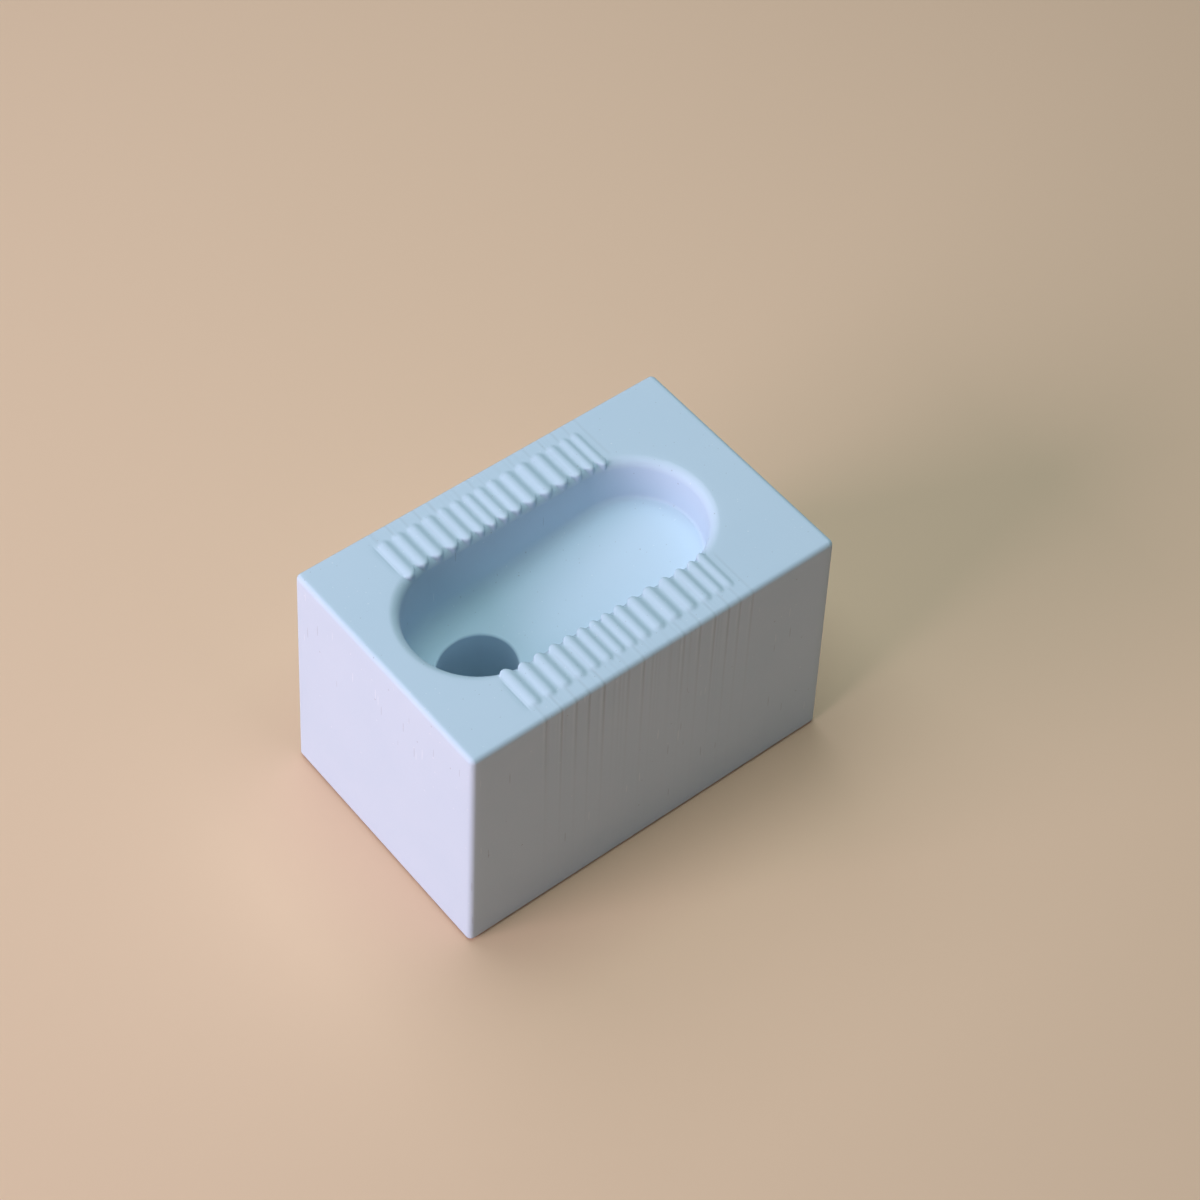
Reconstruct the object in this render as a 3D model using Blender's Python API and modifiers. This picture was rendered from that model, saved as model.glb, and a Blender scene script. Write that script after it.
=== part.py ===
"""Desk pen holder: a small block with an oval basin, a pen socket, ribbed treads and non-slip pads.

Frame: metres, +Z up, origin on the desk under the middle of the block, +X along the block from the
socket end to the shallow end of the basin.
"""

import math

import bmesh
import bpy

MM = 0.001

# Block: length and width at the base, and the angle by which each side leans in towards the top
BLOCK_LENGTH = 61.0 * MM
BLOCK_WIDTH = 39.2 * MM
BLOCK_HEIGHT = 38.6 * MM
SIDE_DRAFT = math.radians(1.0)
EDGE_ROUND = 0.75 * MM
EDGE_STEPS = 4

# Basin: straight sides with half-round ends, a rounded rim, and a floor that falls to the socket
BASIN_LENGTH = 45.7 * MM
BASIN_WIDTH = 19.9 * MM
BASIN_TO_END = 5.3 * MM
RIM_ROUND = 1.5 * MM
RIM_STEPS = 5
DEPTH_AT_SOCKET = 12.5 * MM
DEPTH_AT_FAR_END = 6.6 * MM
COVE_AT_SOCKET = 3.0 * MM
COVE_AT_FAR_END = 0.8 * MM
COVE_STEPS = 5
END_STEPS = 22

# Pen socket: a blind round hole on the axis of the basin's deep end
SOCKET_DIAMETER = 11.0 * MM
SOCKET_FLOOR = 4.0 * MM
SOCKET_STEPS = 48

# Tread ribs: a row of low round-edged bars on each side of the basin, rooted below the rounded rim
RIB_COUNT = 15
RIB_PITCH = 2.275 * MM
FIRST_RIB_BEFORE_SOCKET = 3.55 * MM
RIB_WIDTH = 1.8 * MM
RIB_HEIGHT = 0.42 * MM
RIB_TO_BASIN = 0.05 * MM
RIB_TO_EDGE = 2.1 * MM
RIB_ROOT_BELOW_RIM = 0.3 * MM
RIB_CROWN_SHARE = 0.48
RIB_STEPS = 3

# Non-slip pads, in round recesses under the corners
PAD_DIAMETER = 8.0 * MM
PAD_THICKNESS = 1.2 * MM
PAD_PROUD = 0.4 * MM
PAD_ROUND = 0.25 * MM
PAD_ROUND_STEPS = 2
PAD_TO_SIDE = 3.0 * MM
PAD_CLEARANCE = 0.3 * MM
PAD_STEPS = 40

# How far a cutter runs past the face that it opens
OVERCUT = 2.0 * MM

# Edges that turn by less than this are shaded smooth
SMOOTH_ANGLE = math.radians(35)

BASE_Z = PAD_PROUD
TOP_Z = BASE_Z + BLOCK_HEIGHT
SIDE_LEAN = BLOCK_HEIGHT * math.tan(SIDE_DRAFT)
TOP_LENGTH = BLOCK_LENGTH - 2 * SIDE_LEAN
TOP_WIDTH = BLOCK_WIDTH - 2 * SIDE_LEAN
BASIN_END_RADIUS = BASIN_WIDTH / 2
BASIN_START_X = BASIN_TO_END - TOP_LENGTH / 2
BASIN_END_X = BASIN_START_X + BASIN_LENGTH
SOCKET_X = BASIN_START_X + BASIN_END_RADIUS
FAR_ARC_X = BASIN_END_X - BASIN_END_RADIUS
PAD_X = BLOCK_LENGTH / 2 - PAD_TO_SIDE - PAD_DIAMETER / 2
PAD_Y = BLOCK_WIDTH / 2 - PAD_TO_SIDE - PAD_DIAMETER / 2


def new_collection(name):
    collection = bpy.data.collections.new(name)
    bpy.context.scene.collection.children.link(collection)
    return collection


def new_material(name, colour, roughness):
    material = bpy.data.materials.new(name)
    material.use_nodes = True
    material.diffuse_color = colour
    shader = material.node_tree.nodes["Principled BSDF"]
    shader.inputs["Base Color"].default_value = colour
    shader.inputs["Roughness"].default_value = roughness
    shader.inputs["Metallic"].default_value = 0.0
    return material


def add_part(name, mesh, material):
    part = bpy.data.objects.new(name, mesh)
    part.data.materials.append(material)
    parts.objects.link(part)
    return part


def add_cutter(name, mesh):
    """A helper for a Boolean: it shows as wire and isn't rendered."""
    cutter = bpy.data.objects.new(name, mesh)
    cutter.hide_render = True
    cutter.display_type = "WIRE"
    cutters.objects.link(cutter)
    return cutter


def add_boolean(part, tool, operation):
    boolean = part.modifiers.new(f"{operation.lower()} {tool.name}", "BOOLEAN")
    boolean.operation = operation
    boolean.solver = "EXACT"
    boolean.object = tool


def mesh_from(bm, name):
    bmesh.ops.recalc_face_normals(bm, faces=bm.faces)
    mesh = bpy.data.meshes.new(name)
    bm.to_mesh(mesh)
    bm.free()
    return mesh


def rounded_block_mesh(name, base, top, low_z, high_z, radius, steps, middle=(0.0, 0.0)):
    """A block from a base rectangle up to a top rectangle, rounded on all edges but the base's."""
    bm = bmesh.new()
    bmesh.ops.create_cube(bm, size=1.0)
    for vert in bm.verts:
        size, z = (top, high_z) if vert.co.z > 0 else (base, low_z)
        vert.co = (middle[0] + vert.co.x * size[0], middle[1] + vert.co.y * size[1], z)
    half_way = (low_z + high_z) / 2
    edges = [edge for edge in bm.edges if any(vert.co.z > half_way for vert in edge.verts)]
    bmesh.ops.bevel(bm, geom=edges, offset=radius, segments=steps, profile=0.5, affect="EDGES")
    return mesh_from(bm, name)


def cylinder_mesh(name, diameter, low_z, high_z, steps, low_edge_radius=0.0):
    """An upright cylinder on the Z axis, with its lower edge rounded if a radius is given."""
    bm = bmesh.new()
    radius = diameter / 2
    height = high_z - low_z
    bmesh.ops.create_cone(
        bm, cap_ends=True, segments=steps, radius1=radius, radius2=radius, depth=height
    )
    half_way = (low_z + high_z) / 2
    bmesh.ops.translate(bm, vec=(0, 0, half_way), verts=bm.verts)
    if low_edge_radius:
        low_edges = [edge for edge in bm.edges if all(vert.co.z < half_way for vert in edge.verts)]
        bmesh.ops.bevel(
            bm,
            geom=low_edges,
            offset=low_edge_radius,
            segments=PAD_ROUND_STEPS,
            profile=0.5,
            affect="EDGES",
        )
    return mesh_from(bm, name)


def basin_outline():
    """Points of the basin's wall in plan, each with the direction that points into the basin."""
    outline = []
    for centre_x, first_angle in ((FAR_ARC_X, -math.pi / 2), (SOCKET_X, math.pi / 2)):
        for step in range(END_STEPS + 1):
            angle = first_angle + math.pi * step / END_STEPS
            out_x, out_y = math.cos(angle), math.sin(angle)
            wall = (centre_x + BASIN_END_RADIUS * out_x, BASIN_END_RADIUS * out_y)
            outline.append((wall, (-out_x, -out_y)))
    return outline


def along_basin(at_socket, at_far_end, x):
    """A value that changes evenly from the socket's axis to the far end of the basin."""
    share = (x - SOCKET_X) / (BASIN_END_X - SOCKET_X)
    return at_socket + (at_far_end - at_socket) * share


def floor_z(x):
    return TOP_Z - along_basin(DEPTH_AT_SOCKET, DEPTH_AT_FAR_END, x)


def rim_ring(angle, lift=0.0):
    """The ring at this angle round the rim: 0 on the block's top, a quarter turn on the wall."""
    out = RIM_ROUND * (1 - math.sin(angle))
    z = TOP_Z + lift - RIM_ROUND * (1 - math.cos(angle))
    return [(x - in_x * out, y - in_y * out, z) for (x, y), (in_x, in_y) in basin_outline()]


def cove_ring(angle):
    """The ring at this angle round the cove: 0 on the wall, a quarter turn on the sloping floor."""
    ring = []
    for (wall_x, wall_y), (in_x, in_y) in basin_outline():
        radius = along_basin(COVE_AT_SOCKET, COVE_AT_FAR_END, wall_x)
        inwards = radius * (1 - math.cos(angle))
        x = wall_x + in_x * inwards
        y = wall_y + in_y * inwards
        ring.append((x, y, floor_z(x) + radius * (1 - math.sin(angle))))
    return ring


def basin_mesh():
    """The basin's space as a loft through rings: over the rim, down the wall, round the cove."""
    quarter = math.pi / 2
    rings = [rim_ring(0, OVERCUT)]
    rings += [rim_ring(quarter * step / RIM_STEPS) for step in range(RIM_STEPS + 1)]
    rings += [cove_ring(quarter * step / COVE_STEPS) for step in range(COVE_STEPS + 1)]
    bm = bmesh.new()
    loops = [[bm.verts.new(point) for point in ring] for ring in rings]
    for upper, lower in zip(loops, loops[1:]):
        for i in range(len(upper)):
            bm.faces.new((upper[i - 1], upper[i], lower[i], lower[i - 1]))
    bm.faces.new(loops[0])
    bm.faces.new(loops[-1])
    return mesh_from(bm, "basin")


def add_ribs():
    """Both rows of ribs: one rounded bar, repeated along its row and mirrored to the other side."""
    inner_y = BASIN_WIDTH / 2 + RIB_TO_BASIN
    outer_y = TOP_WIDTH / 2 - RIB_TO_EDGE
    first_x = SOCKET_X - FIRST_RIB_BEFORE_SOCKET
    plan = (RIB_WIDTH, outer_y - inner_y)
    bar = rounded_block_mesh(
        "tread_rib",
        plan,
        plan,
        TOP_Z - RIM_ROUND - RIB_ROOT_BELOW_RIM,
        TOP_Z + RIB_HEIGHT,
        min(RIB_HEIGHT, RIB_CROWN_SHARE * RIB_WIDTH),
        RIB_STEPS,
        (first_x, (inner_y + outer_y) / 2),
    )
    ribs = add_cutter("tread_ribs", bar)
    row = ribs.modifiers.new("row along the basin", "ARRAY")
    row.count = RIB_COUNT
    row.use_relative_offset = False
    row.use_constant_offset = True
    row.constant_offset_displace = (RIB_PITCH, 0, 0)
    row.use_merge_vertices = False
    other_row = ribs.modifiers.new("row on the other side", "MIRROR")
    other_row.use_axis = (False, True, False)
    other_row.use_mirror_merge = False
    return ribs


def add_foot_pad(corner, x, y):
    """One pad, and the recess in the block that it sits in with a clearance all round."""
    pad_mesh = cylinder_mesh("foot_pad", PAD_DIAMETER, 0, PAD_THICKNESS, PAD_STEPS, PAD_ROUND)
    pad = add_part(f"foot_pad_{corner}", pad_mesh, silicone)
    pad.location = (x, y, 0)
    recess_mesh = cylinder_mesh(
        "recess",
        PAD_DIAMETER + 2 * PAD_CLEARANCE,
        BASE_Z - OVERCUT,
        PAD_THICKNESS + PAD_CLEARANCE,
        PAD_STEPS,
    )
    recess = add_cutter(f"recess_{corner}", recess_mesh)
    recess.location = (x, y, 0)
    add_boolean(block, recess, "DIFFERENCE")


for old in list(bpy.data.objects):
    bpy.data.objects.remove(old, do_unlink=True)

parts = new_collection("pen_holder")
cutters = new_collection("cutters")
plastic = new_material("pale blue matt plastic", (0.60, 0.72, 0.80, 1.0), 0.6)
silicone = new_material("grey silicone", (0.16, 0.16, 0.17, 1.0), 0.75)

# The block, rounded everywhere but on its underside
block_mesh = rounded_block_mesh(
    "holder_block",
    (BLOCK_LENGTH, BLOCK_WIDTH),
    (TOP_LENGTH, TOP_WIDTH),
    BASE_Z,
    TOP_Z,
    EDGE_ROUND,
    EDGE_STEPS,
)
block = add_part("holder_block", block_mesh, plastic)

# The basin is cut first, then the ribs stand on what is left, right up to its rim
add_boolean(block, add_cutter("basin", basin_mesh()), "DIFFERENCE")
add_boolean(block, add_ribs(), "UNION")

# The socket runs down from the deep end of the basin
socket_mesh = cylinder_mesh(
    "pen_socket", SOCKET_DIAMETER, BASE_Z + SOCKET_FLOOR, TOP_Z, SOCKET_STEPS
)
socket = add_cutter("pen_socket", socket_mesh)
socket.location = (SOCKET_X, 0, 0)
add_boolean(block, socket, "DIFFERENCE")

# A pad under each corner
for row_name, row_y in (("front", -PAD_Y), ("rear", PAD_Y)):
    for side_name, side_x in (("left", -PAD_X), ("right", PAD_X)):
        add_foot_pad(f"{row_name}_{side_name}", side_x, row_y)

for part in parts.objects:
    part.data.shade_smooth()
    part.data.set_sharp_from_angle(angle=SMOOTH_ANGLE)
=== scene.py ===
"""Looks of a desk pen holder: a printed block with a basin, a pen socket and ribbed treads, on pads."""

import math

import bmesh
import bpy
import numpy as np
from mathutils import Matrix, Vector


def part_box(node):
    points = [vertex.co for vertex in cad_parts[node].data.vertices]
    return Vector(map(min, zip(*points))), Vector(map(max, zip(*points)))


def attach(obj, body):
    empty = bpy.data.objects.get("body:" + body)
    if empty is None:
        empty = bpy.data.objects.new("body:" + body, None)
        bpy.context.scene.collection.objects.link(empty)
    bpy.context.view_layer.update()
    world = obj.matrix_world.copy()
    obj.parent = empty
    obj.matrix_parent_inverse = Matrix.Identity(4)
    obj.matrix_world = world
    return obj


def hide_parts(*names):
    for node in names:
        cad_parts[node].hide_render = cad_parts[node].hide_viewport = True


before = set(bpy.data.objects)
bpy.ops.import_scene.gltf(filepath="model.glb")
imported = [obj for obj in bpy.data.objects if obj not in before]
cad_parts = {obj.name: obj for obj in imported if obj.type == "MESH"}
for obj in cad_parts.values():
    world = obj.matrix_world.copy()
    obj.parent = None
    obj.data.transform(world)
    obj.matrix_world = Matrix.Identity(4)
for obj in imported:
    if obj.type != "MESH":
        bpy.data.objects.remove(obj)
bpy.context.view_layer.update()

# Holder block
# One seamless body of matt, pale ice-blue plastic, printed in thin layers along its length.
# The basin, the pen socket and the two rows of tread ribs are formed with it, and nothing is fixed on.
MM = 0.001
QUARTER = math.pi / 2

# The block's outside: half sizes at the base, and the lean of its sides. The CAD box ends at its ribs.
block_low, block_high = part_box("holder_block")
CAD_RIB_HEIGHT = 0.42 * MM
BASE_Z = block_low.z
TOP_Z = block_high.z - CAD_RIB_HEIGHT
HALF_LENGTH = block_high.x
HALF_WIDTH = block_high.y
SIDE_LEAN = math.tan(math.radians(1.0))
TOP_INSET = SIDE_LEAN * (TOP_Z - BASE_Z)
UPRIGHT_ROUND = 0.8 * MM
EDGE_ROUND = 0.75 * MM
BOTTOM_ROUND = 0.3 * MM

# The basin and the socket at its deep end
BASIN_LENGTH = 45.7 * MM
BASIN_RADIUS = 9.95 * MM
BASIN_TO_END = 5.3 * MM
RIM_ROUND = 1.5 * MM
DEPTH_AT_SOCKET = 12.5 * MM
DEPTH_AT_FAR_END = 6.6 * MM
COVE_AT_SOCKET = 3.0 * MM
COVE_AT_FAR_END = 0.4 * MM
SOCKET_RADIUS = 5.5 * MM
SOCKET_FLOOR = 4.0 * MM
SOCKET_ROUND = 0.35 * MM
SOCKET_X = BASIN_TO_END + TOP_INSET - HALF_LENGTH + BASIN_RADIUS
FAR_ARC_X = SOCKET_X + BASIN_LENGTH - 2 * BASIN_RADIUS
BASIN_END_X = FAR_ARC_X + BASIN_RADIUS

# The ribs: low, soft waves across each tread with round outer ends and blunt noses over the basin. The
# eases are shares of the flank before the crest, of the flank after it and of the outer end.
RIB_COUNT = 15
RIB_PITCH = 2.251 * MM
ROW_LEAD = 4.35 * MM
ROW_START_X = SOCKET_X - ROW_LEAD
ROW_WANDER = ((1, 0.32 * MM), (3, 0.43 * MM), (4, -0.295 * MM))
CREST_HEIGHT = 0.26 * MM
CREST_GROWTH = 1.5
CREST_AT = 0.53
CREST_EASES = (0.48, 0.41, 0.5)
ROOT_EASES = (0.23, 0.33, 0.4)
TREAD_MARGIN = 2.0 * MM
RIB_OUTER_Y = HALF_WIDTH - TOP_INSET - TREAD_MARGIN
RIB_END = 1.2 * MM
NOSE_GAP = 0.05 * MM
NOSE_BLUNTNESS = 0.4
NOSE_SHARPNESS = 2.5
TINY_TURN = 1e-6
TINY_SHARE = 1e-9
CREASE_DEPTH = 0.06 * MM
CREASE_WIDTH = 0.12 * MM
CREASE_OFFSET = 0.13 * MM

# The layer marks that run on from the ribs, down the long sides, each a groove with a ridge before it,
# and the finer marks between them
MARK_DEPTH = 0.035 * MM
MARK_WIDTH = 0.18 * MM
MARK_AT = 0.3
MARK_JITTER = 0.3 * MM
RIDGE_OFFSET = 0.4 * MM
RIDGE_SHARE = 0.6
END_MARK_OFFSET = 0.95 * MM
MARK_FADE = 11 * MM
MARK_ON_TOP = 0.35
MARK_SEED = 7
MARK_STRENGTHS = (0.25, 1.0)
FINE_MARKS = 24
FINE_STRENGTHS = (0.1, 0.3)

# Columns of the block's surface, each from the outline to the middle, and the steps of each stretch
PITCH_STEPS = 20
STEPS_BEFORE_ROW = 3
STEPS_AFTER_ROW = 13
APPROACH_STEPS = 12
CORNER_STEPS = 7
END_STEPS = 36
SPINE_OVERRUN = 0.3 * MM

# Places along a row of ribs, counted in ribs: the spacing is even, but for a slow wander in half waves
tread = np.arange(-STEPS_BEFORE_ROW, RIB_COUNT * PITCH_STEPS + STEPS_AFTER_ROW + 1) / PITCH_STEPS
along_row = np.clip(tread / RIB_COUNT, 0, 1)
wander = sum(size * np.sin(half_waves * math.pi * along_row) for half_waves, size in ROW_WANDER)
tread_x = ROW_START_X + RIB_PITCH * tread + wander


def outline(inset, corner):
    """The block's outline in plan, drawn in from the base's by inset, anticlockwise from the front left.

    Four straight sides are joined by quarter circles of radius corner. On the long sides the points
    between the first rib and the last stand at tread_x, whatever the inset.
    """
    x = HALF_LENGTH - inset - corner
    y = HALF_WIDTH - inset - corner
    share = np.linspace(0, 1, APPROACH_STEPS + 1)
    side_x = np.concatenate(
        [-x + share[:-1] * (tread_x[0] + x), tread_x, tread_x[-1] + share[1:] * (x - tread_x[-1])]
    )
    end_y = np.linspace(-y, y, END_STEPS + 1)
    turn = np.linspace(0, QUARTER, CORNER_STEPS + 1)[1:-1]
    stretches = [
        (side_x, np.full_like(side_x, -y - corner)),
        (x + corner * np.sin(turn), -y - corner * np.cos(turn)),
        (np.full_like(end_y, x + corner), end_y),
        (x + corner * np.cos(turn), y + corner * np.sin(turn)),
        (side_x[::-1], np.full_like(side_x, y + corner)),
        (-x - corner * np.sin(turn), y + corner * np.cos(turn)),
        (np.full_like(end_y, -x - corner), end_y[::-1]),
        (-x - corner * np.cos(turn), -y - corner * np.sin(turn)),
    ]
    return np.concatenate([np.column_stack(stretch) for stretch in stretches])


# Each column lies on a line from the edge of the flat top to the nearest point of a spine on the X axis
edge = outline(TOP_INSET + EDGE_ROUND, UPRIGHT_ROUND - EDGE_ROUND)
foot = np.zeros_like(edge)
foot[:, 0] = np.clip(edge[:, 0], tread_x[0] - SPINE_OVERRUN, tread_x[-1] + SPINE_OVERRUN)
edge_reach = np.linalg.norm(edge - foot, axis=1)
ray = (edge - foot) / edge_reach[:, None]
arc_x = np.clip(foot[:, 0], SOCKET_X, FAR_ARC_X)

# How far each column is from the crest of its rib, as a share of the flank that it lies on
column_tread = np.interp(edge[:, 0], tread_x, tread)
column_rib = np.clip(np.floor(column_tread), 0, RIB_COUNT - 1)
off_crest = column_tread - column_rib - CREST_AT
across_rib = np.where(off_crest < 0, -off_crest / CREST_AT, off_crest / (1 - CREST_AT))

# A wide rib is higher than a narrow one
rib_width = np.interp(column_rib + 1, tread, tread_x) - np.interp(column_rib, tread, tread_x)
crest_height = CREST_HEIGHT * (rib_width / RIB_PITCH) ** CREST_GROWTH


def ease_share(eases, endward):
    """The ease of each column's flank, turning into the ease of the outer end as endward goes to 1."""
    before, after, end = eases
    flank = np.where(off_crest < 0, before, after)
    return flank + (end - flank) * endward


def rib_rise(past_end):
    """What share of a rib's height each column has, at this share of the rib's outer end.

    It falls from 1 on the crest to 0 at the root: ever steeper over the crest, then straight, then ever
    flatter over the root. At the end of the rib it runs along radii, so the end is round.
    """
    past_crest = np.hypot(across_rib, past_end)
    endward = (past_end / np.maximum(past_crest, TINY_SHARE)) ** 2
    crest_ease = ease_share(CREST_EASES, endward)
    root_ease = ease_share(ROOT_EASES, endward)
    past_crest = np.clip(past_crest, 0, 1)
    over_crest = np.minimum(past_crest, crest_ease)
    over_root = np.clip(past_crest - (1 - root_ease), 0, None)
    fall = past_crest - over_crest + over_crest**2 / (2 * crest_ease) - over_root**2 / (2 * root_ease)
    return 1 - fall / (1 - (crest_ease + root_ease) / 2)


rib_share = rib_rise(0.0)

# Each rib leaves a mark of its own strength, not quite in step with it, and so does the end of the row
chance = np.random.default_rng(MARK_SEED)
mark_x = np.interp(np.arange(RIB_COUNT) + MARK_AT, tread, tread_x)
mark_x += chance.uniform(-MARK_JITTER, MARK_JITTER, RIB_COUNT)
mark_x = np.append(mark_x, ROW_START_X + RIB_PITCH * RIB_COUNT + END_MARK_OFFSET)
mark_strength = chance.uniform(*MARK_STRENGTHS, len(mark_x))
mark_x = np.append(mark_x, chance.uniform(mark_x[0], mark_x[-1], FINE_MARKS))
mark_strength = np.append(mark_strength, chance.uniform(*FINE_STRENGTHS, FINE_MARKS))
from_mark = edge[:, :1] - mark_x
column_groove = (mark_strength * np.exp(-((from_mark / MARK_WIDTH) ** 2))).sum(axis=1)
column_ridge = (mark_strength * np.exp(-(((from_mark + RIDGE_OFFSET) / MARK_WIDTH) ** 2))).sum(axis=1)
column_mark = column_groove - RIDGE_SHARE * column_ridge

# A thin crease runs along the root of each row's first rib
from_crease = edge[:, 0] - (ROW_START_X - CREASE_OFFSET)
column_crease = CREASE_DEPTH * np.exp(-((from_crease / CREASE_WIDTH) ** 2))


def reach(radius):
    """How far along each column's line the basin's outline lies when it is drawn with this end radius."""
    lead = foot[:, 0] - arc_x
    along = lead * ray[:, 0]
    return np.sqrt(along**2 - lead**2 + radius**2) - along


def ring(plan, z):
    """Points in plan, raised to z, which is one height or a height for each point."""
    return np.column_stack([plan, np.broadcast_to(z, len(plan))])


def on_column(distance):
    """The point in plan at this distance along each column's line."""
    return foot + ray * distance[:, None]


def along_basin(at_socket, at_far_end, x):
    """A value that changes evenly from the socket's axis to the far end of the basin."""
    return at_socket + (at_far_end - at_socket) * (x - SOCKET_X) / (BASIN_END_X - SOCKET_X)


def floor_z(x):
    """The height of the basin's floor, which slopes evenly up from the socket."""
    return TOP_Z - along_basin(DEPTH_AT_SOCKET, DEPTH_AT_FAR_END, x)


def outside_ring(inset, z, corner, turn):
    """A ring of the block's outside, with the marks cut in along its own slope, and the marks' strength.

    The turn is 0 on the upright sides and a quarter turn on the top. The marks fade down the sides.
    """
    plan = outline(inset, corner)
    fade = math.exp((z - TOP_Z) / MARK_FADE) * (1 - (1 - MARK_ON_TOP) * math.sin(turn))
    mark = column_mark * fade
    plan[:, 1] -= np.sign(plan[:, 1]) * MARK_DEPTH * mark * math.cos(turn)
    return ring(plan, z - MARK_DEPTH * mark * math.sin(turn)), mark


def top_ring(share):
    """A ring of the flat top, at this share of the way from its edge to the rim, with the ribs raised."""
    rim = reach(BASIN_RADIUS + RIM_ROUND)
    plan = on_column(edge_reach + share * (rim - edge_reach))
    past_end = np.clip((np.abs(plan[:, 1]) - RIB_OUTER_Y) / RIB_END + 1, 0, None)
    rise = rib_rise(past_end)
    mark = column_mark * MARK_ON_TOP * (1 - rise)
    crease = column_crease * np.clip(1 - past_end, 0, 1)
    return ring(plan, TOP_Z + crest_height * rise - MARK_DEPTH * mark - crease), mark


def rim_ring(turn):
    """A ring of the rim at this turn, from 0 on the top to a quarter turn on the wall.

    The plain rim is a quarter circle. A rib pushes it out along its own slope, as far as the rib's blunt
    nose or its crown, whichever is nearer, with the corner between them eased.
    """
    out, up = math.sin(turn), math.cos(turn)
    distance = reach(BASIN_RADIUS + RIM_ROUND * (1 - out))
    z = TOP_Z - RIM_ROUND * (1 - up)
    nose = reach(BASIN_RADIUS) + NOSE_GAP + RIM_ROUND * (1 - rib_share**NOSE_BLUNTNESS)
    to_nose = np.clip((distance - nose) / max(out, TINY_TURN), TINY_SHARE, None)
    to_crown = (TOP_Z + crest_height * rib_share - z) / max(up, TINY_TURN) + TINY_SHARE
    push = (to_nose**-NOSE_SHARPNESS + to_crown**-NOSE_SHARPNESS) ** (-1 / NOSE_SHARPNESS)
    push = np.where(rib_share > 0, push, 0.0)
    return ring(on_column(distance - push * out), z + push * up)


def cove_ring(turn):
    """A ring of the cove at this turn, from 0 on the wall to a quarter turn on the sloping floor."""
    radius = along_basin(COVE_AT_SOCKET, COVE_AT_FAR_END, on_column(reach(BASIN_RADIUS))[:, 0])
    plan = on_column(reach(BASIN_RADIUS - radius * (1 - math.cos(turn))))
    return ring(plan, floor_z(plan[:, 0]) + radius * (1 - math.sin(turn)))


def between(first, last, steps):
    """Rings evenly spaced between two rings, which are left out themselves."""
    return [first + (last - first) * step / steps for step in range(1, steps)]


def turns(steps):
    """Angles evenly spaced over a quarter turn, with both ends."""
    return [QUARTER * step / steps for step in range(steps + 1)]


# Steps of each stretch, from the underside's outline up and over to the bottom of the socket
BOTTOM_STEPS = 3
SIDE_HEM = 0.15 * MM
SIDE_STEPS = 12
EDGE_STEPS = 8
MARGIN_STEPS = 4
RIB_END_STEPS = 9
CROWN_STEPS = 6
RIM_STEPS = 16
WALL_STEPS = 5
COVE_STEPS = 9
FLOOR_STEPS = 9
MOUTH_STEPS = 4
SOCKET_STEPS = 7
SOCKET_FLOOR_STEPS = 3

rings, marks = [], []
plain = np.zeros(len(edge))

for turn in turns(BOTTOM_STEPS):
    inset = BOTTOM_ROUND * (1 - math.sin(turn))
    rings.append(ring(outline(inset, UPRIGHT_ROUND - inset), BASE_Z + BOTTOM_ROUND * (1 - math.cos(turn))))
    marks.append(plain)

# The rings lie closer together up the side. The first is a hem that keeps the faces above it flat.
side_low, side_high = BASE_Z + BOTTOM_ROUND, TOP_Z - EDGE_ROUND
climb = np.sin(QUARTER * np.arange(1, SIDE_STEPS) / SIDE_STEPS)
for z in [side_low + SIDE_HEM, *(side_low + (side_high - side_low) * climb)]:
    made, mark = outside_ring(SIDE_LEAN * (z - BASE_Z), z, UPRIGHT_ROUND, 0)
    rings.append(made)
    marks.append(mark)

for turn in turns(EDGE_STEPS):
    inset = EDGE_ROUND * (1 - math.cos(turn))
    z = side_high + EDGE_ROUND * math.sin(turn)
    made, mark = outside_ring(TOP_INSET + inset, z, UPRIGHT_ROUND - inset, turn)
    rings.append(made)
    marks.append(mark)

edge_y = HALF_WIDTH - TOP_INSET - EDGE_ROUND
rim_y = BASIN_RADIUS + RIM_ROUND
row_y = np.concatenate(
    [
        np.linspace(edge_y, RIB_OUTER_Y, MARGIN_STEPS + 1)[1:-1],
        np.linspace(RIB_OUTER_Y, RIB_OUTER_Y - RIB_END, RIB_END_STEPS + 1),
        np.linspace(RIB_OUTER_Y - RIB_END, rim_y, CROWN_STEPS + 1)[1:-1],
    ]
)
for share in (edge_y - row_y) / (edge_y - rim_y):
    made, mark = top_ring(share)
    rings.append(made)
    marks.append(mark)

rim = [rim_ring(turn) for turn in turns(RIM_STEPS)]
cove = [cove_ring(turn) for turn in turns(COVE_STEPS)]
socket_angle = np.arctan2(cove[-1][:, 1], cove[-1][:, 0] - SOCKET_X)
socket_ray = np.column_stack([np.cos(socket_angle), np.sin(socket_angle)])


def socket_ring(radius):
    """A circle in plan round the socket's axis, with each column's point towards the foot of its cove."""
    return np.array([SOCKET_X, 0.0]) + socket_ray * radius


mouth = []
for turn in turns(MOUTH_STEPS):
    plan = socket_ring(SOCKET_RADIUS + SOCKET_ROUND * (1 - math.sin(turn)))
    mouth.append(ring(plan, floor_z(plan[:, 0]) - SOCKET_ROUND * (1 - math.cos(turn))))
bore_end = ring(socket_ring(SOCKET_RADIUS), BASE_Z + SOCKET_FLOOR + SOCKET_ROUND)
heel = []
for turn in turns(MOUTH_STEPS):
    plan = socket_ring(SOCKET_RADIUS - SOCKET_ROUND * (1 - math.cos(turn)))
    heel.append(ring(plan, BASE_Z + SOCKET_FLOOR + SOCKET_ROUND * (1 - math.sin(turn))))
centre = ring(socket_ring(0.0), BASE_Z + SOCKET_FLOOR)

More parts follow.
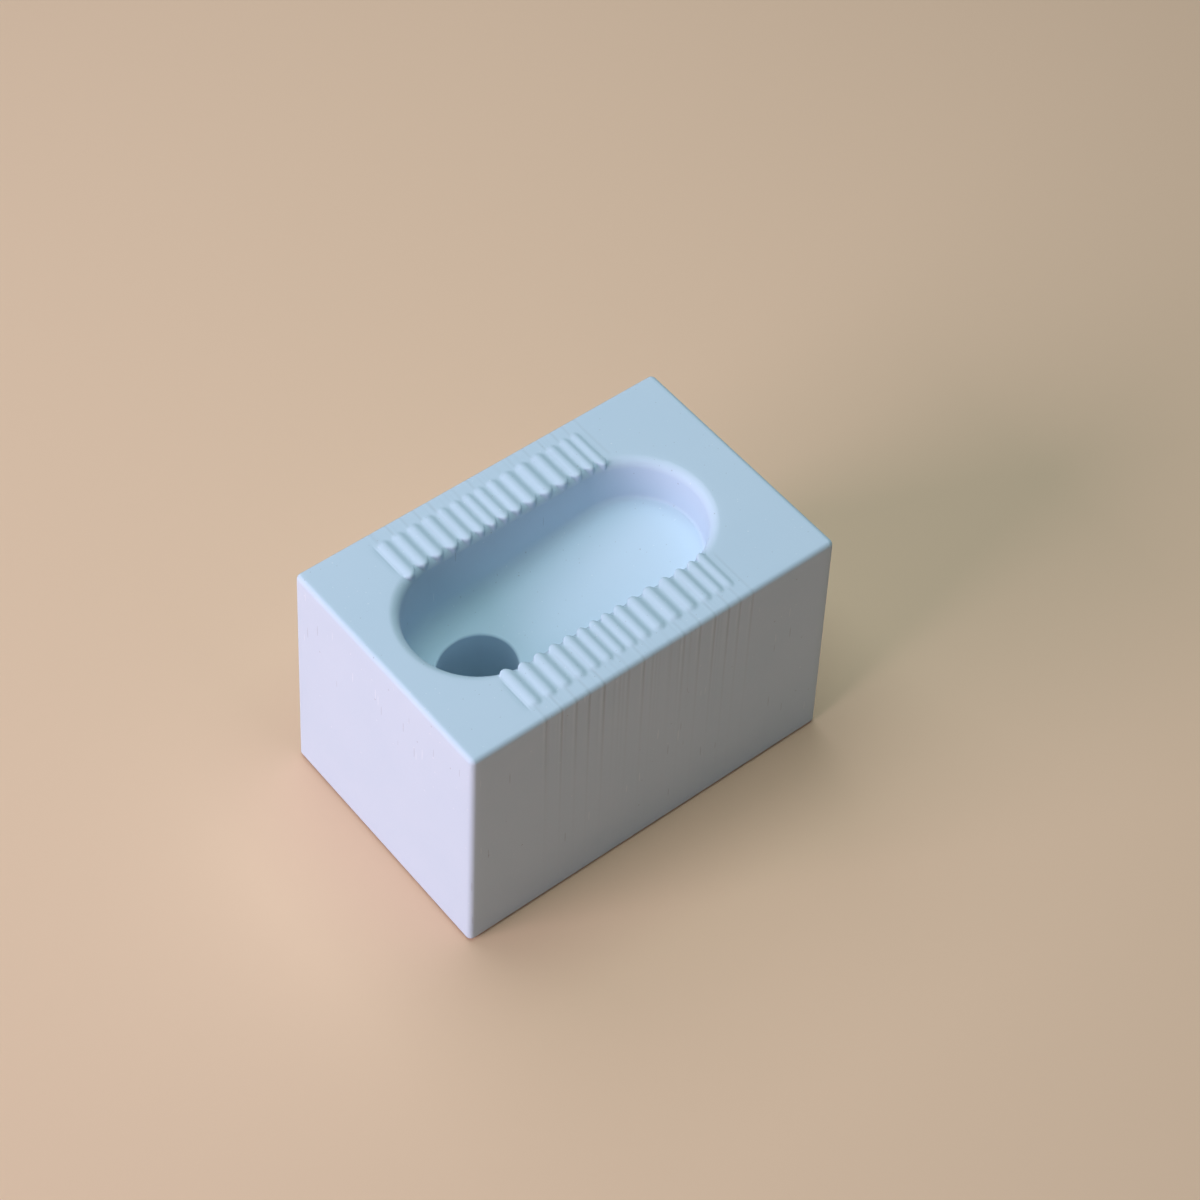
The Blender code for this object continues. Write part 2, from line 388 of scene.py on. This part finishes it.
inside = rim + between(rim[-1], cove[0], WALL_STEPS) + cove
inside += between(cove[-1], mouth[0], FLOOR_STEPS) + mouth
inside += between(mouth[-1], bore_end, SOCKET_STEPS) + heel
inside += between(heel[-1], centre, SOCKET_FLOOR_STEPS) + [centre]
rings += inside
marks += [plain] * len(inside)


def closed_grid(rings):
    """Quads between neighbouring rings of equal length, each ring joined end to end."""
    rows, columns = len(rings), len(rings[0])
    here = np.arange(rows * columns).reshape(rows, columns)
    after = np.roll(here, -1, axis=1)
    quads = np.stack([here[:-1], after[:-1], after[1:], here[1:]], axis=-1)
    return np.concatenate(rings), quads.reshape(-1, 4)


# The underside is made in quarters, each with a recess for its pad
UNDER_HEM = 0.04
UNDER_STEPS = 3
ROOF_STEPS = 4


def recess_rings(outer, middle, radius, ceiling):
    """Rings of a quarter of the underside: its outline, the round recess for a pad, and the recess's roof."""
    outward = outer[:, :2] - middle
    outward /= np.linalg.norm(outward, axis=1)[:, None]
    mouth = ring(middle + outward * radius, BASE_Z)
    roof = ring(middle + outward * radius, ceiling)
    centre = ring(middle + outward * 0, ceiling)
    hem = outer + (mouth - outer) * UNDER_HEM
    underside = [outer, hem] + between(outer, mouth, UNDER_STEPS) + [mouth]
    return underside + [roof] + between(roof, centre, ROOF_STEPS) + [centre]


PAD_CLEARANCE = 0.3 * MM
SEAM_STEPS = 12
corner_names = ("front_left", "front_right", "rear_right", "rear_left")
pad_nodes = [f"foot_pad_{name}" for name in corner_names]
under = rings[0]
count = len(under)
front_middle = int(np.argmin(np.abs(under[:, 0]) + (under[:, 1] > 0)))
rear_middle = int(np.argmin(np.abs(under[:, 0] - under[front_middle, 0]) + (under[:, 1] < 0)))
right_middle = int(np.argmin(np.abs(under[:, 1]) + (under[:, 0] < 0)))
left_middle = int(np.argmin(np.abs(under[:, 1]) + (under[:, 0] > 0)))
cross = np.array([[under[front_middle, 0], 0.0, BASE_Z]])
quarter_ends = (
    (left_middle, front_middle),
    (front_middle, right_middle),
    (right_middle, rear_middle),
    (rear_middle, left_middle),
)

points, faces = closed_grid(rings)
point_parts, face_parts, mark_parts = [points], [faces], [np.concatenate(marks)]
total = len(points)
for node, (first, last) in zip(pad_nodes, quarter_ends):
    stretch = np.arange(first, first + (last - first) % count + 1) % count
    outer = np.concatenate(
        [under[stretch]]
        + between(under[last], cross, SEAM_STEPS)
        + [cross]
        + between(cross, under[first], SEAM_STEPS)
    )
    pad_low, pad_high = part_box(node)
    middle = np.array([(pad_low.x + pad_high.x) / 2, (pad_low.y + pad_high.y) / 2])
    radius = (pad_high.x - pad_low.x) / 2 + PAD_CLEARANCE
    points, faces = closed_grid(recess_rings(outer, middle, radius, pad_high.z + PAD_CLEARANCE))
    point_parts.append(points)
    face_parts.append(faces + total)
    mark_parts.append(np.zeros(len(points)))
    total += len(points)

SAME_POINT = 0.0002 * MM
SHARP_ANGLE = math.radians(40)


def add_piece(name, points, faces, **attributes):
    """A mesh object from points and quads: doubles are merged, empty faces go, and faces point outwards."""
    mesh = bpy.data.meshes.new(name)
    mesh.from_pydata(points, [], faces)
    for key, values in attributes.items():
        mesh.attributes.new(key, "FLOAT", "POINT").data.foreach_set("value", values.astype(np.float32))
    bm = bmesh.new()
    bm.from_mesh(mesh)
    bmesh.ops.remove_doubles(bm, verts=bm.verts, dist=SAME_POINT)
    bmesh.ops.recalc_face_normals(bm, faces=bm.faces)
    bm.to_mesh(mesh)
    bm.free()
    mesh.shade_smooth()
    mesh.set_sharp_from_angle(angle=SHARP_ANGLE)
    piece = bpy.data.objects.new(name, mesh)
    bpy.context.scene.collection.objects.link(piece)
    return piece


block = add_piece(
    "printed_block",
    np.concatenate(point_parts),
    np.concatenate(face_parts),
    layer_mark=np.concatenate(mark_parts),
)


def add_node(tree, kind, inputs, **settings):
    """A shader node with its settings made and each input linked or set."""
    node = tree.nodes.new("ShaderNode" + kind)
    for key, value in settings.items():
        setattr(node, key, value)
    for key, value in inputs.items():
        if isinstance(value, bpy.types.NodeSocket):
            tree.links.new(value, node.inputs[key])
        else:
            node.inputs[key].default_value = value
    return node


def new_material(name, specular):
    """A material with this specular level, its node tree and its shader."""
    material = bpy.data.materials.new(name)
    material.use_nodes = True
    shader = material.node_tree.nodes["Principled BSDF"]
    shader.inputs["Specular IOR Level"].default_value = specular
    return material, material.node_tree, shader


# Sockets of a Mix node that mixes colours
MIX_A, MIX_B, MIXED = 6, 7, 2

# The plastic's colours, the gains of the painted shade in its grooves (positive) and of the painted highlight
# on its ridges (negative), and its patterns
ICE_BLUE_DEEP = (0.575, 0.700, 0.800, 1.0)
ICE_BLUE_PALE = (0.625, 0.735, 0.830, 1.0)
# The grey in the marks' grooves is painted shade, and the pale on their ridges is painted highlight
GROOVE_PAINTED_SHADE = (0.30, 0.29, 0.28, 1.0)
RIDGE_PAINTED_HIGHLIGHT = (0.78, 0.84, 0.90, 1.0)
MARK_PAINTED_SHADING = ((0.4, GROOVE_PAINTED_SHADE), (-0.5, RIDGE_PAINTED_HIGHLIGHT))
SPECK_GREY = (0.34, 0.38, 0.42, 1.0)
SPECK_PALE = (0.80, 0.87, 0.93, 1.0)
PLASTIC_SPECULAR = 0.26
PLASTIC_ROUGHNESS = (0.54, 0.72)
CLOUD_SCALE = 70.0
PATCH_SCALE = 900.0
LAYER_SCALE = 2500.0
GRAIN_SCALE = 6000.0
GRAIN_SHARE = 0.5
RELIEF_STRENGTH = 0.5
RELIEF_DEPTH = 0.006 * MM

# Round specks, then upright scratches, which are specks drawn out along Z. For each: the squash along Z,
# the scale, the size and share of the cells that carry one, its strength and its colour.
SPECKS = (
    (1.0, 400.0, 0.05, 0.4, 0.5, SPECK_GREY),
    (1.0, 430.0, 0.05, 0.4, 0.6, SPECK_PALE),
    (0.08, 1500.0, 0.13, 0.12, 0.35, SPECK_GREY),
    (0.08, 1400.0, 0.13, 0.12, 0.5, SPECK_PALE),
)


def print_plastic():
    """Matt print plastic: a cloudy pale blue with layers across X, a fine grain, specks and scratches, with
    painted shade in the layer marks' grooves and painted highlight on their ridges.
    """
    material, tree, shader = new_material("ice blue print plastic", PLASTIC_SPECULAR)
    place = add_node(tree, "TexCoord", {}).outputs["Object"]
    along = add_node(tree, "SeparateXYZ", {"Vector": place}).outputs["X"]

    cloud = add_node(tree, "TexNoise", {"Vector": place, "Scale": CLOUD_SCALE, "Detail": 3.0}).outputs["Fac"]
    colour = add_node(
        tree, "Mix", {0: cloud, MIX_A: ICE_BLUE_DEEP, MIX_B: ICE_BLUE_PALE}, data_type="RGBA"
    ).outputs[MIXED]

    # Painted shade darkens the grooves of the layer marks, and painted highlight lightens their ridges
    mark = add_node(tree, "Attribute", {}, attribute_name="layer_mark").outputs["Fac"]
    for gain, painted_shading_colour in MARK_PAINTED_SHADING:
        share = add_node(tree, "Math", {0: mark, 1: gain}, operation="MULTIPLY", use_clamp=True)
        colour = add_node(
            tree, "Mix", {0: share.outputs[0], MIX_A: colour, MIX_B: painted_shading_colour}, data_type="RGBA"
        ).outputs[MIXED]

    for squash, scale, size, chosen, strength, speck_colour in SPECKS:
        drawn_out = add_node(
            tree, "VectorMath", {0: place, 1: (1.0, 1.0, squash)}, operation="MULTIPLY"
        ).outputs[0]
        cell = add_node(tree, "TexVoronoi", {"Vector": drawn_out, "Scale": scale})
        distance = cell.outputs["Distance"]
        near = add_node(tree, "Math", {0: distance, 1: size}, operation="LESS_THAN").outputs[0]
        pick = add_node(tree, "SeparateColor", {"Color": cell.outputs["Color"]}).outputs["Red"]
        pick = add_node(tree, "Math", {0: pick, 1: chosen}, operation="LESS_THAN").outputs[0]
        speck = add_node(tree, "Math", {0: near, 1: pick}, operation="MULTIPLY").outputs[0]
        speck = add_node(tree, "Math", {0: speck, 1: strength}, operation="MULTIPLY").outputs[0]
        colour = add_node(
            tree, "Mix", {0: speck, MIX_A: colour, MIX_B: speck_colour}, data_type="RGBA"
        ).outputs[MIXED]
    tree.links.new(colour, shader.inputs["Base Color"])

    layers = add_node(
        tree, "TexNoise", {"W": along, "Scale": LAYER_SCALE, "Detail": 2.0}, noise_dimensions="1D"
    ).outputs["Fac"]
    grain = add_node(tree, "TexNoise", {"Vector": place, "Scale": GRAIN_SCALE, "Detail": 2.0}).outputs["Fac"]
    relief = add_node(tree, "Math", {0: grain, 1: GRAIN_SHARE, 2: layers}, operation="MULTIPLY_ADD")
    bump = add_node(
        tree, "Bump", {"Strength": RELIEF_STRENGTH, "Distance": RELIEF_DEPTH, "Height": relief.outputs[0]}
    )
    tree.links.new(bump.outputs["Normal"], shader.inputs["Normal"])

    patch = add_node(tree, "TexNoise", {"Vector": place, "Scale": PATCH_SCALE, "Detail": 3.0}).outputs["Fac"]
    smooth, rough = PLASTIC_ROUGHNESS
    gloss = add_node(tree, "MapRange", {"Value": patch, "To Min": smooth, "To Max": rough})
    tree.links.new(gloss.outputs["Result"], shader.inputs["Roughness"])
    return material


block.data.materials.append(print_plastic())
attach(block, "root")
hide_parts("holder_block")

# Foot pads
# Four round non-slip pads of dark grey silicone, each cut from thick sheet with a rounded lower edge.
# They are stuck in shallow recesses under the block's corners and stand a little proud of it.
PAD_ROUND = 0.25 * MM
PAD_TOP_ROUND = 0.1 * MM
PAD_SIDES = 96
PAD_ROUND_STEPS = 5
SILICONE_DARK = (0.03, 0.03, 0.032, 1.0)
SILICONE_DUSTY = (0.055, 0.055, 0.057, 1.0)
SILICONE_SPECULAR = 0.3
SILICONE_ROUGHNESS = (0.6, 0.8)
DUST_SCALE = 700.0
MOULD_GRAIN_SCALE = 5000.0
MOULD_GRAIN_STRENGTH = 0.6
MOULD_GRAIN_DEPTH = 0.02 * MM


def pad_rings(low, high):
    """Rings of a turned pad, from the middle of its underside, round both edges, to the middle of its top."""
    radius = (high.x - low.x) / 2
    profile = [(0.0, low.z), (radius / 2, low.z)]
    for turn in turns(PAD_ROUND_STEPS):
        out, drop = math.sin(turn), math.cos(turn)
        profile.append((radius - PAD_ROUND * (1 - out), low.z + PAD_ROUND * (1 - drop)))
    for turn in turns(PAD_ROUND_STEPS):
        out, rise = math.cos(turn), math.sin(turn)
        profile.append((radius - PAD_TOP_ROUND * (1 - out), high.z - PAD_TOP_ROUND * (1 - rise)))
    profile += [(radius / 2, high.z), (0.0, high.z)]
    angle = np.arange(PAD_SIDES) * 2 * math.pi / PAD_SIDES
    circle = np.column_stack([np.cos(angle), np.sin(angle)])
    middle = np.array([(low.x + high.x) / 2, (low.y + high.y) / 2])
    return [ring(middle + circle * reach_out, z) for reach_out, z in profile]


def silicone():
    """Matt silicone: dark grey with paler dusty patches and a fine moulded grain."""
    material, tree, shader = new_material("grey silicone", SILICONE_SPECULAR)
    place = add_node(tree, "TexCoord", {}).outputs["Object"]
    dust = add_node(tree, "TexNoise", {"Vector": place, "Scale": DUST_SCALE, "Detail": 4.0}).outputs["Fac"]
    colour = add_node(
        tree, "Mix", {0: dust, MIX_A: SILICONE_DARK, MIX_B: SILICONE_DUSTY}, data_type="RGBA"
    ).outputs[MIXED]
    tree.links.new(colour, shader.inputs["Base Color"])

    smooth, rough = SILICONE_ROUGHNESS
    gloss = add_node(tree, "MapRange", {"Value": dust, "To Min": smooth, "To Max": rough})
    tree.links.new(gloss.outputs["Result"], shader.inputs["Roughness"])

    grain = add_node(tree, "TexNoise", {"Vector": place, "Scale": MOULD_GRAIN_SCALE, "Detail": 3.0})
    bump = add_node(
        tree,
        "Bump",
        {"Strength": MOULD_GRAIN_STRENGTH, "Distance": MOULD_GRAIN_DEPTH, "Height": grain.outputs["Fac"]},
    )
    tree.links.new(bump.outputs["Normal"], shader.inputs["Normal"])
    return material


pad_material = silicone()
for name, node in zip(corner_names, pad_nodes):
    pad = add_piece(f"silicone_pad_{name}", *closed_grid(pad_rings(*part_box(node))))
    pad.data.materials.append(pad_material)
    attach(pad, "root")
    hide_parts(node)

# Stage
# A plain pale floor, a soft low key light, a weak light from behind, a broad one above, and the camera.
# The camera's place, turn and lens were found from the block's edges in the picture.
FLOOR_HALF = 2.0
FLOOR_COLOUR = (0.89, 0.607, 0.407, 1.0)
FLOOR_SPECULAR = 0.2
FLOOR_ROUGHNESS = 0.8
SKY_COLOUR = (0.82, 0.74, 1.0, 1.0)
SKY_STRENGTH = 0.06

floor_corners = [(x * FLOOR_HALF, y * FLOOR_HALF, 0.0) for x, y in ((-1, -1), (1, -1), (1, 1), (-1, 1))]
floor_mesh = bpy.data.meshes.new("floor")
floor_mesh.from_pydata(floor_corners, [], [(0, 1, 2, 3)])
floor = bpy.data.objects.new("floor", floor_mesh)
bpy.context.scene.collection.objects.link(floor)
floor_material, _, floor_shader = new_material("pale matt floor", FLOOR_SPECULAR)
floor_shader.inputs["Base Color"].default_value = FLOOR_COLOUR
floor_shader.inputs["Roughness"].default_value = FLOOR_ROUGHNESS
floor_mesh.materials.append(floor_material)

world = bpy.data.worlds.new("soft sky")
world.use_nodes = True
sky = world.node_tree.nodes["Background"]
sky.inputs["Color"].default_value = SKY_COLOUR
sky.inputs["Strength"].default_value = SKY_STRENGTH
bpy.context.scene.world = world


def softbox(name, place, size, power, colour):
    """A square area light, its side in metres and its power in watts, that faces the middle of the block."""
    light = bpy.data.lights.new(name, "AREA")
    light.size = size
    light.energy = power
    light.color = colour
    lamp = bpy.data.objects.new(name, light)
    lamp.location = place
    towards_block = Vector((0, 0, TOP_Z / 2)) - Vector(place)
    lamp.rotation_euler = towards_block.to_track_quat("-Z", "Y").to_euler()
    bpy.context.scene.collection.objects.link(lamp)


softbox("key", place=(-0.75, 0.066, 0.255), size=0.5, power=5.7, colour=(0.915, 0.805, 1.0))
softbox("window", place=(0.0, 0.17, 0.37), size=0.3, power=0.53, colour=(0.78, 0.845, 1.0))
softbox("ceiling", place=(0.0, 0.0, 0.6), size=0.45, power=1.25, colour=(0.66, 1.0, 0.93))

CAMERA_PLACE = (-161.69 * MM, -190.54 * MM, 337.84 * MM)
CAMERA_AZIMUTH = math.radians(-41.369)
CAMERA_ELEVATION = math.radians(50.870)
CAMERA_ROLL = math.radians(3.439)
CAMERA_LENS = 90.0
SENSOR = 36.0
CLIP_START = 0.01

lens = bpy.data.cameras.new("camera")
lens.sensor_width = SENSOR
lens.lens = CAMERA_LENS
lens.clip_start = CLIP_START
camera = bpy.data.objects.new("camera", lens)
look_back = Vector(
    (
        math.sin(CAMERA_AZIMUTH) * math.cos(CAMERA_ELEVATION),
        -math.cos(CAMERA_AZIMUTH) * math.cos(CAMERA_ELEVATION),
        math.sin(CAMERA_ELEVATION),
    )
)
level = Vector((math.cos(CAMERA_AZIMUTH), math.sin(CAMERA_AZIMUTH), 0.0))
upright = look_back.cross(level)
turned = Matrix((level, upright, look_back)).transposed() @ Matrix.Rotation(CAMERA_ROLL, 3, "Z")
camera.matrix_world = Matrix.Translation(CAMERA_PLACE) @ turned.to_4x4()
bpy.context.scene.collection.objects.link(camera)
bpy.context.scene.camera = camera
bpy.context.scene.view_settings.view_transform = "Standard"
